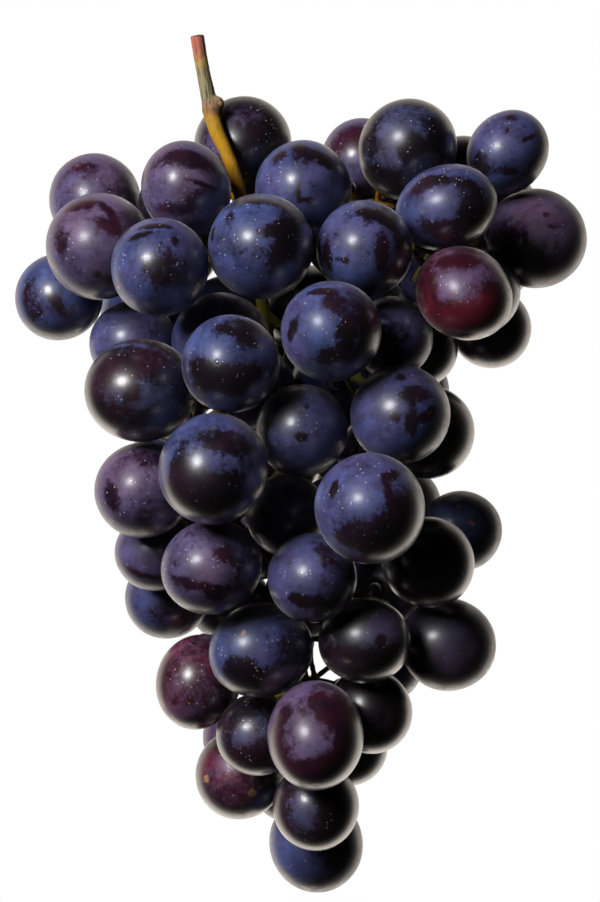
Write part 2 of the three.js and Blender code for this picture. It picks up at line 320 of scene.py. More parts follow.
def bloom_level(n, here, ragged, crumbs, look):
    """How whole the bloom is: above 0 it covers the skin."""
    seed = look["seed"]
    # The bloom attribute also holds the listed marks' painted shade on shaded sides and painted light on
    # one shaded berry.
    cover = n.add("ShaderNodeAttribute", out="Fac", settings={"attribute_name": "bloom"})
    clouds = n.swing(ragged, CLOUDS, seed, detail=5.0, roughness=0.62)
    stroke_turn = (0.5, 0.8, seed)
    brushed = n.add("ShaderNodeMapping", Vector=ragged, Scale=STROKE_LENGTHENING, Rotation=stroke_turn)
    strokes = n.swing(brushed, STROKES, seed + 9.0, detail=3.0)
    powder = n.swing(here, POWDER, seed + 6.0, detail=3.0, roughness=0.7)
    level = n.math("MULTIPLY_ADD", clouds, look["patchy"], cover)
    level = n.math("MULTIPLY_ADD", crumbs, CRUMB_SHARE, level)
    level = n.math("MULTIPLY_ADD", powder, POWDER_SHARE, level)
    return n.math("MULTIPLY_ADD", strokes, STROKE_SHARE, level)


def bloom_film(n, place, ragged, crumbs, grain, level, look):
    """How thick the wax lies: 0 on bare skin, 1 on whole bloom."""
    seed = look["seed"]
    film = n.blur_step(level, -0.16 * look["soft"], 0.22 * look["soft"])
    film = n.times(film, n.blur_step(level, -0.1, 0.8, start=0.5))
    thin = n.noise(place, THIN_PLACES, seed + 7.1, detail=4.0, roughness=0.6)
    film = n.times(film, n.blur_step(thin, 0.34, 0.64, start=0.5))
    residue = n.times(n.blur_step(crumbs, 0.0, 0.3, end=0.22), n.blur_step(level, -0.9, -0.1))
    film = n.math("MAXIMUM", film, residue)
    clusters = n.blur_step(n.noise(place, PIT_CLUSTERS, seed + 13.0, detail=2.0), 0.48, 0.62)
    pits = n.times(n.spots(ragged, PITS, size=0.24, share=0.35), clusters)
    film = n.times(film, n.math("SUBTRACT", 1.0, n.times(pits, 0.75)))
    return n.times(film, n.blur_step(grain, 0.25, 0.75, start=0.78))


def skin_colour(n, place, ragged, film, look):
    """Dark mottled skin, and the bloom over it."""
    seed = look["seed"]
    mottle = n.blur_step(n.noise(ragged, MOTTLE, seed + 20.0, detail=4.0), 0.45, 0.6)
    skin = n.blend(mottle, look["skin"], look["mottle"])
    tint = n.blur_step(n.noise(place, TINT, seed + 31.0, detail=2.0), 0.4, 0.6)
    bloom = n.blend(tint, look["bloom"], look["bloom_tint"])
    return n.blend(film, skin, bloom)


def add_specks(n, here, place, colour, look):
    """Pale dust specks, on a berry's dusty sides only."""
    sides = n.noise(place, DUSTY_SIDES, look["seed"] + 41.0, detail=2.0)
    dusty = n.blur_step(sides, 0.58 - look["dust"], 0.74 - look["dust"])
    specks = n.times(n.spots(place, SPECKS, size=0.2, share=0.35), dusty)
    big_specks = n.times(n.spots(here, BIG_SPECKS, size=0.1, share=0.3), dusty)
    specks = n.math("MAXIMUM", n.times(specks, 0.65), big_specks)
    return n.blend(specks, colour, SPECK)


def add_scars(n, ragged_here, crumbs, colour, scars):
    """Small dry scars, each (point, radius)."""
    shown = None
    for point, radius in scars:
        scar = n.oval_at(ragged_here, point, radius)
        shown = scar if shown is None else n.math("MAXIMUM", shown, scar)
    if shown is None:
        return colour
    shown = n.times(shown, n.blur_step(crumbs, -0.2, 0.1, start=0.45))
    return n.blend(shown, colour, DRY_SCAR)


def grape_skin(name, berry, look):
    """Dark skin under a waxy bloom that is rubbed away in patches, streaks and dots; some bare patches on
    the shaded sides are painted shade.
    """
    n = Nodes(name)
    seed = look["seed"]
    here = n.add("ShaderNodeTexCoord", out="Object")
    place = n.add(
        "ShaderNodeMapping",
        settings={"vector_type": "TEXTURE"},
        Vector=here,
        Location=berry["middle"],
        Rotation=berry["turn"].to_euler(),
    )
    shift = ragged_shift(n, here)
    ragged = n.vector_math("ADD", place, shift)
    ragged_here = n.vector_math("ADD", here, shift)
    crumbs = n.swing(place, CRUMBS, seed + 5.0, detail=4.0, roughness=0.7)
    grain = n.noise(place, GRAIN, seed, detail=2.0)
    level = bloom_level(n, here, ragged, crumbs, look)
    film = bloom_film(n, place, ragged, crumbs, grain, level, look)

    colour = skin_colour(n, place, ragged, film, look)
    colour = add_specks(n, here, place, colour, look)
    colour = add_scars(n, ragged_here, crumbs, colour, look["scars"])
    tip = n.oval_at(here, berry["middle"] + berry["tip"] * berry["half_length"], TIP_RADIUS)
    colour = n.blend(n.times(tip, 0.5), colour, DRY_TIP)

    sockets = n.shader.inputs
    n.feed(sockets["Base Color"], colour)
    n.feed(sockets["Roughness"], n.blur_step(film, 0.0, 0.8, start=0.38, end=0.52))
    n.feed(sockets["Coat Weight"], n.blur_step(film, 0.0, 0.8, start=1.0, end=0.45))
    sockets["Specular IOR Level"].default_value = 0.75
    sockets["Coat Roughness"].default_value = 0.27
    sockets["Coat IOR"].default_value = 1.7
    sockets["Sheen Weight"].default_value = 0.18
    sockets["Sheen Roughness"].default_value = 0.3
    sockets["Sheen Tint"].default_value = SHEEN_TINT
    height = n.math("ADD", n.times(film, 0.5), n.times(grain, 0.3))
    bump = n.add("ShaderNodeBump", Height=height, Strength=0.3, Distance=SKIN_RELIEF)
    n.feed(sockets["Normal"], bump)
    return n.material


# ---- the skin of the stalk ----

# The joint of the stalk, with the scar of a bud on its right.
JOINT = Vector((3.6 * MM, -0.5 * MM, -17.8 * MM))
BUD = Vector((5.1 * MM, -0.9 * MM, -16.6 * MM))
BUD_SCAR = BUD + Vector((0.62 * MM, -1.15 * MM, 0.1 * MM))
SCAR_RADIUS = 0.62 * MM
SCAR_RING_RADIUS = 1.05 * MM

# The stalk's own colour, from this far below the cut (0) up to the cut (1).
COLOURED_LENGTH = 48 * MM
STALK_STOPS = [
    (0.0, (0.150, 0.130, 0.020, 1)),
    (0.20, (0.220, 0.098, 0.003, 1)),
    (0.48, (0.245, 0.125, 0.004, 1)),
    (0.60, (0.235, 0.130, 0.015, 1)),
    (0.64, (0.200, 0.120, 0.065, 1)),
    (0.69, (0.185, 0.165, 0.095, 1)),
    (0.82, (0.195, 0.170, 0.080, 1)),
    (0.87, (0.330, 0.220, 0.055, 1)),
    (0.91, (0.330, 0.105, 0.065, 1)),
    (1.0, (0.300, 0.080, 0.062, 1)),
]
UNEVEN_BY = 9 * MM  # from the one extreme to the other, of how the borders of those colours wander

PINK_RIB = (0.27, 0.12, 0.10, 1)
DARK_LINE = (0.055, 0.040, 0.018, 1)
ORANGE_GRAIN = (0.13, 0.055, 0.012, 1)
BROWN_PATCH = (0.11, 0.05, 0.018, 1)
SCAR_RING = (0.09, 0.04, 0.02, 1)
SCAR_CORK = (0.42, 0.24, 0.12, 1)
JOINT_BROWN = (0.10, 0.05, 0.03, 1)
DRY_CUT = (0.10, 0.045, 0.025, 1)
STALK_LEAN = 9  # degrees, of the part above the joint
STALK_RELIEF = 0.5 * MM

# Patterns, as noise scale, per metre
RIDGES = 1300.0
BLOTCHES = 260.0
STALK_CRUMBS = 1100.0
RIDGE_LENGTHENING = (1.0, 1.0, 0.05)


def stalk_colour(n, height, blotches):
    """The stalk's colour by height, with wandering borders."""
    uneven = n.math("MULTIPLY_ADD", blotches, UNEVEN_BY, -UNEVEN_BY / 2)
    level = n.math("ADD", height, uneven)
    share = map_range(n.tree, level, (-COLOURED_LENGTH, 0.0), (0.0, 1.0), "LINEAR")
    ramp = n.tree.nodes.new("ShaderNodeValToRGB")
    n.feed(ramp.inputs[0], share)
    while len(ramp.color_ramp.elements) < len(STALK_STOPS):
        ramp.color_ramp.elements.new(0.5)
    for element, (position, colour) in zip(ramp.color_ramp.elements, STALK_STOPS):
        element.position = position
        element.color = colour
    return ramp.outputs[0]


def add_joint_marks(n, here, crumbs, colour):
    """The ringed scar of the bud, and the rough brown skin of the joint."""
    ring = n.oval_at(here, BUD_SCAR, SCAR_RING_RADIUS)
    colour = n.blend(n.times(ring, 0.75), colour, SCAR_RING)
    colour = n.blend(n.oval_at(here, BUD_SCAR, SCAR_RADIUS), colour, SCAR_CORK)
    joint = n.vector_math("DISTANCE", here, JOINT, out="Value")
    rough = n.times(n.blur_step(joint, 3.6 * MM, 2.0 * MM), n.blur_step(crumbs, 0.42, 0.58))
    return n.blend(n.times(rough, 0.7), colour, JOINT_BROWN)


def stalk_skin():
    """Red at the cut, grey-green above the joint, mustard below it, with lengthwise ridges."""
    n = Nodes("stalk")
    here = n.add("ShaderNodeTexCoord", out="Object")
    split = n.add("ShaderNodeSeparateXYZ", Vector=here)
    height = split.node.outputs["Z"]
    upright = n.add("ShaderNodeMapping", Vector=here, Rotation=(0, math.radians(STALK_LEAN), 0))
    lengthwise = n.add("ShaderNodeMapping", Vector=upright, Scale=RIDGE_LENGTHENING)
    ridges = n.noise(lengthwise, RIDGES, 1.0, detail=4.0, roughness=0.6)
    blotches = n.noise(here, BLOTCHES, 4.0, detail=5.0, roughness=0.65)
    crumbs = n.noise(here, STALK_CRUMBS, 6.0, detail=4.0, roughness=0.7)
    above = n.blur_step(height, -21 * MM, -16 * MM)

    colour = stalk_colour(n, height, blotches)
    pink = n.times(n.blur_step(ridges, 0.5, 0.66, end=0.6), above)
    colour = n.blend(pink, colour, PINK_RIB)
    lines = n.times(n.blur_step(ridges, 0.5, 0.4, end=0.95), n.blur_step(above, 0.0, 1.0, start=0.25))
    colour = n.blend(lines, colour, DARK_LINE)
    colour = n.blend(n.blur_step(crumbs, 0.46, 0.3, end=0.5), colour, ORANGE_GRAIN)
    colour = n.blend(n.blur_step(blotches, 0.58, 0.68, end=0.6), colour, BROWN_PATCH)
    colour = add_joint_marks(n, here, crumbs, colour)
    cut = n.blur_step(n.math("MULTIPLY_ADD", crumbs, 0.8 * MM, height), -0.35 * MM, 0.05 * MM)
    colour = n.blend(cut, colour, DRY_CUT)

    n.feed(n.shader.inputs["Base Color"], colour)
    n.feed(n.shader.inputs["Roughness"], n.blur_step(blotches, 0.3, 0.7, start=0.5, end=0.7))
    n.shader.inputs["Specular IOR Level"].default_value = 0.35
    ribs = n.times(ridges, n.blur_step(above, 0.0, 1.0, start=0.4))
    relief = n.math("MULTIPLY_ADD", crumbs, 0.35, ribs)
    bump = n.add("ShaderNodeBump", Height=relief, Strength=0.8, Distance=STALK_RELIEF)
    n.feed(n.shader.inputs["Normal"], bump)
    return n.material


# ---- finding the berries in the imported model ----

POLE_TRIANGLES = 10  # at least this many triangles meet at a berry's pole, and fewer elsewhere
HALF_LENGTHS = (8 * MM, 15 * MM)
HALF_GIRTHS = (8 * MM, 14 * MM)
EQUATOR_BAND = 0.1 * MM
EQUATOR_CORNERS = 4
FIT_TOLERANCE = 0.004
FITTING_CORNERS = 30
WELD = 0.002 * MM


def merged_copy(node, name):
    """A copy of a CAD node's mesh, with its loose triangles joined into one skin."""
    bpy.ops.object.select_all(action="DESELECT")
    piece = frame["nodes"][node].copy()
    piece.data = frame["nodes"][node].data.copy()
    piece.name = name
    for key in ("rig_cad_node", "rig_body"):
        if key in piece:
            del piece[key]
    piece.parent = None
    bpy.context.scene.collection.objects.link(piece)
    piece.hide_render = piece.hide_viewport = False
    bpy.context.view_layer.objects.active = piece
    piece.select_set(True)
    bpy.ops.object.mode_set(mode="EDIT")
    bpy.ops.mesh.select_all(action="SELECT")
    bpy.ops.mesh.remove_doubles(threshold=WELD)
    bpy.ops.mesh.normals_make_consistent(inside=False)
    bpy.ops.object.mode_set(mode="OBJECT")
    return piece


def corners(obj):
    """The corners of a mesh, one row each."""
    found = np.empty(len(obj.data.vertices) * 3, np.float32)
    obj.data.vertices.foreach_get("co", found)
    return found.reshape(-1, 3).astype(float)


def poles_in(shape):
    """The corners where most triangles meet."""
    meeting = np.zeros(len(shape.data.vertices), int)
    for face in shape.data.polygons:
        for index in face.vertices:
            meeting[index] += 1
    return [i for i in range(len(meeting)) if meeting[i] >= POLE_TRIANGLES]


def fit_between(points, first, second):
    """An even berry with these two poles: how many corners lie on it, and its size. None if it can't be."""
    middle = (points[first] + points[second]) / 2
    half = np.linalg.norm(points[first] - points[second]) / 2
    if not HALF_LENGTHS[0] < half < HALF_LENGTHS[1]:
        return None
    along = (points[second] - points[first]) / (2 * half)
    offset = points - middle
    height = offset @ along
    around = np.linalg.norm(offset - np.outer(height, along), axis=1)
    level = np.abs(height) < EQUATOR_BAND
    equator = np.median(around[level]) if level.sum() >= EQUATOR_CORNERS else 0
    if not HALF_GIRTHS[0] < equator < HALF_GIRTHS[1]:
        return None
    fit = np.abs(np.hypot(around / equator, height / half) - 1) < FIT_TOLERANCE
    return fit.sum(), first, second, middle, half, equator


def berries_in(node, stalk_points):
    """Every berry that a CAD node holds, found by its two poles. The tip is the pole off the stalk."""
    shape = merged_copy(node, "measuring")
    points = corners(shape)
    poles = poles_in(shape)
    bpy.data.objects.remove(shape)
    fits = []
    for place, first in enumerate(poles):
        for second in poles[place + 1:]:
            fit = fit_between(points, first, second)
            if fit is not None:
                fits.append(fit)
    found = []
    used = set()
    for count, first, second, middle, half, equator in sorted(fits, key=lambda fit: -fit[0]):
        if count < FITTING_CORNERS or first in used or second in used:
            continue
        used |= {first, second}
        ends = [points[first], points[second]]
        nearness = [np.linalg.norm(stalk_points - end, axis=1).min() for end in ends]
        stalk_end, tip_end = ends if nearness[0] < nearness[1] else ends[::-1]
        tip = Vector(tip_end - stalk_end).normalized()
        found.append(
            {
                "middle": Vector(middle),
                "tip": tip,
                "turn": tip.to_track_quat("Z", "Y"),
                "half_girth": float(equator),
                "half_length": float(half),
            }
        )
    return found


# ---- the shape of a berry ----

PATTERN_SIDES = 96
PATTERN_RINGS = 64
CAP_GAP = 0.3 * MM  # the CAD berry stands this far off its stalk
PRESS_AIR = 0.03 * MM
SWELLS = 95.0  # per metre
BROAD_SWELLS = 45.0
SWELL_HEIGHT = 0.16 * MM
BROAD_SWELL_HEIGHT = 0.28 * MM
SEAT_EDGE = 0.97  # from here to the pole the skin is the seat of the stalk

# The pattern's nub and seat: which faces, by height, and then (inset, lift) of each step.
NUB_FACES = 0.9985
NUB_HOLLOW = (0.018, -0.003)
NUB = (0.014, 0.006)
SEAT_FACES = -0.975
SEAT = (0.05, -0.022)


def select_faces(piece, wanted):
    """Edit mode, face by face: only the faces whose middle fits are selected."""
    bpy.ops.object.mode_set(mode="EDIT")
    bpy.ops.mesh.select_mode(type="FACE")
    bpy.ops.mesh.select_all(action="DESELECT")
    bpy.ops.object.mode_set(mode="OBJECT")
    for face in piece.data.polygons:
        face.select = wanted(face.center)
    bpy.ops.object.mode_set(mode="EDIT")


def inset_and_lift(thickness, lift):
    bpy.ops.mesh.inset(thickness=thickness)
    bpy.ops.transform.translate(value=(0, 0, lift))


def pattern_berry():
    """One berry of unit half-size along +Z: a seat for the stalk below and a dry nub at the tip."""
    bpy.ops.object.select_all(action="DESELECT")
    bpy.ops.mesh.primitive_uv_sphere_add(segments=PATTERN_SIDES, ring_count=PATTERN_RINGS, radius=1)
    berry = bpy.context.active_object
    berry.name = "pattern_berry"
    select_faces(berry, lambda middle: middle.z > NUB_FACES)
    inset_and_lift(*NUB_HOLLOW)
    inset_and_lift(*NUB)
    select_faces(berry, lambda middle: middle.z < SEAT_FACES)
    inset_and_lift(*SEAT)
    bpy.ops.object.mode_set(mode="OBJECT")
    return berry


def shift_of(point, seed):
    """How far a point of a berry's skin lies off the even shape: slow, shallow swells."""
    slow = noise.noise(point * SWELLS + Vector((seed, 0, 0)))
    broad = noise.noise(point * BROAD_SWELLS + Vector((0, seed, 0)))
    return SWELL_HEIGHT * slow + BROAD_SWELL_HEIGHT * broad


def grow_berry(pattern, berry, name, seed):
    """A copy of the pattern at a berry's place and size, with swells of its own."""
    piece = pattern.copy()
    piece.data = pattern.data.copy()
    piece.name = name
    bpy.context.scene.collection.objects.link(piece)
    size = Vector((berry["half_girth"], berry["half_girth"], berry["half_length"]))
    stretch = Matrix.Diagonal(size.to_4d())
    piece.data.transform(Matrix.Translation(berry["middle"]) @ berry["turn"].to_matrix().to_4x4() @ stretch)
    for vertex in piece.data.vertices:
        out = (vertex.co - berry["middle"]).normalized()
        if -out.dot(berry["tip"]) < SEAT_EDGE:
            vertex.co += out * shift_of(vertex.co - berry["middle"], seed)
        else:
            vertex.co -= berry["tip"] * CAP_GAP * 0.5
    piece.data.shade_smooth()
    return piece


def press_flat(piece, berry, others):
    """Where a berry presses on another one, its skin is flat."""
    for other in others:
        away = other["middle"] - berry["middle"]
        both = berry["half_girth"] + other["half_girth"]
        reach = berry["half_girth"] / both * away.length
        if away.length > both:
            continue
        away.normalize()
        for vertex in piece.data.vertices:
            over = (vertex.co - berry["middle"]).dot(away) - (reach - PRESS_AIR)
            if over > 0:
                vertex.co -= away * over


# ---- marks on the berries ----

# In half-sizes of the mark: where it's gone, and how wide the fade from its whole middle to there is.
MARK_REACH = 1.55
MARK_FADE = 1.1


def face_point(right, up):
    """The direction to the point of a berry's face at this offset, in half-girths."""
    depth = -math.sqrt(max(0.0, 1 - right * right - up * up))
    return Vector((right, depth, up)).normalized()


def mark_field(piece, berry, marks):
    """Sum of oval marks, each (right, up, wide, tall, turn in degrees, strength), in half-girths: rubbed
    and bloomed places, with painted shade on shaded sides and painted light on one shaded berry.
    """
    offset = (corners(piece) - np.array(berry["middle"])) / berry["half_girth"]
    offset /= np.linalg.norm(offset, axis=1)[:, None]
    field = np.zeros(len(offset))
    for right, up, wide, tall, turn, strength in marks:
        middle = face_point(right, up)
        across = middle.cross(Vector((0, 0, 1))).normalized()
        rise = across.cross(middle).normalized()
        across = across if across.x > 0 else -across
        rise = rise if rise.z > 0 else -rise
        delta = offset - np.array(middle)
        u, v = delta @ np.array(across), delta @ np.array(rise)
        c, s = math.cos(math.radians(turn)), math.sin(math.radians(turn))
        far = np.hypot((u * c + v * s) / wide, (-u * s + v * c) / tall)
        near_side = (offset @ np.array(middle)) > 0
        field += strength * near_side * np.clip((MARK_REACH - far) / MARK_FADE, 0, 1)
    return field


# Rubbed (below zero) and thickly bloomed (above zero) places that each berry shows on the face. The wide
# rubbed places on the lower and right sides of many berries are partly painted shade: bare dark skin put
# where the berry lies in shade. The thick bloom on body_berry_15 is painted light.
MARKS_WITH_PAINTED_LIGHT_AND_SHADE = {
    "left_berry_1": [(-0.2, 0.68, 0.3, 0.14, 0, -0.7), (0.65, 0.25, 0.5, 0.35, 0, -0.45)],
    "left_berry_2": [
        (-0.32, 0.74, 0.3, 0.14, 10, -1.2),
        (0.2, 0.62, 0.08, 0.26, 25, -1.2),
        (0.22, 0.32, 0.24, 0.11, -35, -1.0),
        (0.6, 0.5, 0.3, 0.16, 30, -1.2),
        (-0.66, 0.02, 0.16, 0.22, 0, -0.9),
        (0.12, -0.6, 0.16, 0.07, -20, -0.9),
    ],
    "left_berry_3": [
        (0.0, -0.18, 0.42, 0.1, -54, -1.3),
        (-0.63, 0.27, 0.3, 0.3, 0, -0.5),
        (-0.63, -0.3, 0.25, 0.3, 0, -0.4),
    ],
    "left_berry_4": [
        (0.1, -0.1, 0.4, 0.38, 0, -0.75),
        (-0.37, 0.6, 0.22, 0.07, 20, -1.0),
        (-0.04, 0.8, 0.32, 0.08, 0, -1.1),
        (0.33, 0.5, 0.09, 0.13, 0, -0.9),
        (0.75, -0.3, 0.3, 0.5, 0, -0.5),
    ],
    "left_berry_5": [
        (0.13, 0.58, 0.55, 0.22, -10, -1.1),
        (-0.2, -0.5, 0.45, 0.16, 0, -0.9),
        (0.45, -0.32, 0.3, 0.25, 0, -0.9),
        (0.35, 0.06, 0.32, 0.05, -15, -1.0),
        (0.55, 0.2, 0.25, 0.1, 0, 0.5),
    ],
    "right_berry_1": [
        (0.35, -0.2, 0.6, 0.5, 0, -0.3),
        (-0.5, 0.15, 0.4, 0.6, 0, 0.75),
        (0.1, 0.5, 0.3, 0.25, 0, 0.4),
    ],
    "right_berry_2": [
        (-0.08, 0.81, 0.12, 0.1, 0, -1.2),
        (0.3, 0.6, 0.42, 0.2, -15, -1.0),
        (-0.5, 0.6, 0.2, 0.15, 50, -0.8),
        (0.56, 0.48, 0.25, 0.12, -30, -1.0),
        (0.08, -0.3, 0.16, 0.06, 0, -1.1),
        (-0.1, -0.15, 0.06, 0.16, 0, -0.9),
    ],
    "right_berry_3": [(0.1, 0.4, 0.8, 0.5, 0, -1.0), (-0.3, -0.2, 0.3, 0.3, 0, 0.3)],
    "right_berry_4": [
        (0.04, -0.07, 0.22, 0.26, 0, -0.8),
        (0.7, -0.1, 0.4, 0.55, 0, -0.7),
        (-0.5, -0.62, 0.4, 0.2, 0, -0.9),
        (-0.3, 0.35, 0.4, 0.35, 0, 0.55),
        (0.25, 0.7, 0.5, 0.15, -20, 0.35),
        (-0.35, -0.3, 0.2, 0.25, 0, 0.55),
        (-0.75, 0.2, 0.15, 0.25, 0, -0.4),
        (0.0, 0.2, 0.8, 0.7, 0, 0.35),
    ],
    "right_berry_5": [
        (-0.6, 0.5, 0.35, 0.2, 40, -1.0),
        (0.5, -0.1, 0.3, 0.5, 0, -1.3),
        (0.1, -0.62, 0.6, 0.25, 0, -1.4),
        (-0.1, 0.6, 0.5, 0.16, 0, -0.7),
        (-0.1, 0.05, 0.35, 0.3, 30, 0.3),
        (0.45, 0.6, 0.25, 0.15, -30, 0.3),
    ],
    "right_berry_6": [
        (0.5, 0.3, 0.32, 0.05, 25, -1.0),
        (0.07, 0.8, 0.2, 0.1, 0, -0.9),
        (-0.05, 0.45, 0.12, 0.07, 40, -0.9),
        (-0.05, -0.55, 0.3, 0.12, 0, -0.7),
        (-0.7, -0.35, 0.3, 0.3, 0, -0.7),
    ],
    "right_berry_7": [
        (-0.45, -0.35, 0.6, 0.5, 0, -0.9),
        (0.15, 0.43, 0.07, 0.05, -20, -0.9),
        (0.28, 0.18, 0.1, 0.05, 0, -0.9),
        (0.3, 0.3, 0.6, 0.6, 0, 0.2),
    ],
    "right_berry_8": [
        (-0.82, -0.1, 0.25, 0.42, 0, -1.2),
        (-0.15, 0.7, 0.36, 0.18, 0, -1.2),
        (0.55, 0.0, 0.16, 0.2, 0, -1.1),
        (0.1, -0.55, 0.55, 0.28, 0, -1.0),
        (-0.25, 0.2, 0.4, 0.36, 30, 0.7),
        (0.45, 0.4, 0.3, 0.3, 0, 0.4),
    ],
    "body_berry_1": [
        (-0.15, 0.83, 0.36, 0.12, 0, -0.8),
        (0.34, 0.77, 0.24, 0.08, -25, -1.3),
        (-0.57, 0.53, 0.1, 0.12, 0, -0.8),
        (-0.9, 0.2, 0.09, 0.16, 0, -0.9),
        (-0.19, -0.15, 0.3, 0.15, 0, -0.35),
        (0.4, 0.28, 0.36, 0.13, 10, -1.2),
        (0.8, -0.12, 0.5, 0.6, 0, -1.5),
        (0.48, -0.3, 0.26, 0.4, 0, -0.9),
    ],
    "body_berry_2": [
        (0.3, 0.65, 0.46, 0.22, -20, -1.2),
        (0.33, -0.12, 0.13, 0.35, 0, -1.0),
        (-0.78, -0.16, 0.14, 0.3, 0, -1.2),
        (-0.45, -0.27, 0.14, 0.06, -15, -1.0),
        (-0.25, 0.0, 0.15, 0.12, 0, -0.4),
        (-0.57, 0.25, 0.1, 0.09, 0, -0.5),
        (0.8, 0.1, 0.25, 0.6, 0, -0.8),
    ],
    "body_berry_3": [
        (-0.17, 0.76, 0.26, 0.09, 0, -1.2),
        (0.04, 0.52, 0.2, 0.2, 0, -1.2),
        (0.28, -0.02, 0.17, 0.32, 0, -1.2),
        (0.62, 0.25, 0.25, 0.5, 0, -0.9),
        (0.09, -0.55, 0.3, 0.24, 0, -1.1),
        (-0.75, 0.05, 0.1, 0.22, -30, -1.2),
    ],
    "body_berry_4": [
        (0.27, 0.75, 0.5, 0.2, 0, -1.2),
        (0.45, 0.48, 0.35, 0.2, 0, -0.8),
        (-0.4, -0.19, 0.36, 0.2, -20, -1.2),
        (0.2, -0.58, 0.8, 0.44, 0, -1.6),
        (-0.88, 0.1, 0.14, 0.6, 0, 0.4),
    ],
    "body_berry_6": [(0.5, -0.1, 0.4, 0.6, 0, -0.2)],
    "body_berry_7": [
        (0.26, -0.17, 0.5, 0.32, 0, 0.8),
        (-0.2, -0.64, 0.4, 0.2, 0, 0.5),
        (0.35, -0.43, 0.2, 0.15, 0, -1.2),
        (-0.1, -0.08, 0.13, 0.12, 0, -0.9),
        (-0.63, -0.38, 0.12, 0.3, 30, -0.8),
        (-0.15, 0.88, 0.6, 0.1, 0, 0.7),
        (-0.6, 0.0, 0.3, 0.2, 0, 0.3),
    ],
    "body_berry_8": [(0.2, 0.0, 0.3, 0.3, 0, -0.4)],
    "body_berry_10": [
        (0.36, 0.48, 0.45, 0.24, -25, -1.2),
        (0.05, -0.5, 0.75, 0.38, 0, -1.7),
        (-0.63, -0.1, 0.14, 0.4, 0, -0.9),
        (-0.35, 0.15, 0.3, 0.45, 0, -0.35),
        (0.65, -0.25, 0.25, 0.1, 30, 0.5),
    ],
    "body_berry_11": [
        (0.2, 0.65, 0.32, 0.2, 0, -0.7),
        (-0.63, -0.12, 0.15, 0.25, 15, -1.2),
        (0.47, -0.7, 0.3, 0.2, 0, -0.8),
    ],
    "body_berry_12": [
        (0.0, -0.14, 0.13, 0.09, -20, -1.5),
        (0.1, 0.5, 0.06, 0.05, 0, -1.0),
        (-0.78, 0.0, 0.13, 0.3, 0, -1.0),
    ],
    "body_berry_13": [
        (0.29, 0.36, 0.28, 0.18, 0, -1.1),
        (0.2, -0.14, 0.11, 0.25, 0, -1.2),
        (0.5, -0.03, 0.22, 0.1, 30, -1.2),
        (0.0, 0.72, 0.09, 0.1, 0, -1.2),
        (0.55, 0.66, 0.07, 0.07, 0, -1.2),
        (-0.1, -0.06, 0.13, 0.08, 0, -0.9),
    ],
    # painted light: thick pale bloom that lifts this berry, which lies in the shade of its neighbours
    "body_berry_15": [(0.2, 0.2, 0.7, 0.6, 0, 1.4)],
    "body_berry_16": [
        (-0.67, 0.34, 0.09, 0.14, 0, -1.3),
        (0.36, 0.6, 0.15, 0.1, 20, -1.3),
        (0.28, 0.34, 0.07, 0.25, 0, -0.9),
        (0.62, -0.15, 0.38, 0.36, 0, -1.6),
        (0.15, -0.52, 0.52, 0.32, 0, -1.5),
        (-0.4, -0.55, 0.3, 0.12, 0, -1.0),
    ],
    "body_berry_17": [
        (0.35, 0.5, 0.2, 0.36, 35, -0.8),
        (-0.1, -0.5, 0.3, 0.16, 0, -1.2),
        (0.5, -0.6, 0.2, 0.2, 0, -1.2),
        (-0.4, -0.4, 0.13, 0.1, 0, -0.9),
    ],
    "body_berry_18": [
        (0.33, 0.3, 0.3, 0.2, 0, -0.9),
        (-0.3, -0.35, 0.5, 0.1, -15, -1.2),
        (0.15, -0.52, 0.26, 0.16, 0, -1.2),
        (0.72, -0.1, 0.3, 0.4, 0, -0.6),
    ],
    "body_berry_19": [(-0.28, -0.6, 0.42, 0.09, -20, -1.2), (-0.5, 0.2, 0.4, 0.4, 0, 0.2)],
    "body_berry_20": [(-0.4, 0.0, 0.3, 0.25, 0, 0.4), (0.4, -0.3, 0.6, 0.5, 0, -0.8)],
    "tail_berry_3": [
        (-0.1, 0.28, 0.4, 0.16, -10, 1.2),
        (-0.25, -0.2, 0.14, 0.4, 0, 1.0),
        (0.25, 0.1, 0.3, 0.25, 0, 0.8),
    ],
    "tail_berry_4": [
        (0.1, 0.42, 0.7, 0.36, 0, 1.5),
        (0.34, 0.05, 0.09, 0.11, 0, -1.4),
        (0.0, -0.55, 0.6, 0.3, 0, -1.2),
    ],
    "tail_berry_5": [
        (-0.4, -0.35, 0.3, 0.26, 0, -1.2),
        (0.1, -0.68, 0.55, 0.32, 0, -1.5),
        (0.6, 0.05, 0.35, 0.5, 0, -0.5),
    ],
    "tail_berry_6": [(-0.45, -0.65, 0.5, 0.2, 0, 0.6), (-0.4, -0.15, 0.3, 0.2, 0, 0.35)],
    "tail_berry_7": [
        (-0.35, 0.0, 0.25, 0.25, 0, 0.7),
        (0.1, 0.3, 0.4, 0.3, 0, 0.4),
        (0.1, -0.4, 0.3, 0.12, 30, -0.6),
    ],
    "tail_berry_8": [
        (0.35, 0.6, 0.5, 0.3, -20, -1.2),
        (0.1, -0.62, 0.7, 0.3, 0, -1.3),
        (-0.8, -0.1, 0.25, 0.6, 0, -0.9),
        (0.7, -0.1, 0.4, 0.8, 0, -1.5),
        (-0.65, 0.48, 0.14, 0.16, 0, -1.1),
        (-0.35, -0.35, 0.3, 0.1, 20, 0.5),
    ],
    "tail_berry_10": [(-0.4, 0.3, 0.4, 0.4, 0, 0.4), (0.2, -0.6, 0.5, 0.12, 0, 0.5)],
    "tail_berry_11": [(-0.27, -0.05, 0.35, 0.45, 0, 0.8), (0.4, -0.2, 0.3, 0.5, 0, -0.4)],
    "tail_berry_12": [(-0.45, -0.1, 0.3, 0.5, 0, 0.3), (0.3, 0.0, 0.4, 0.6, 0, -0.5)],
}

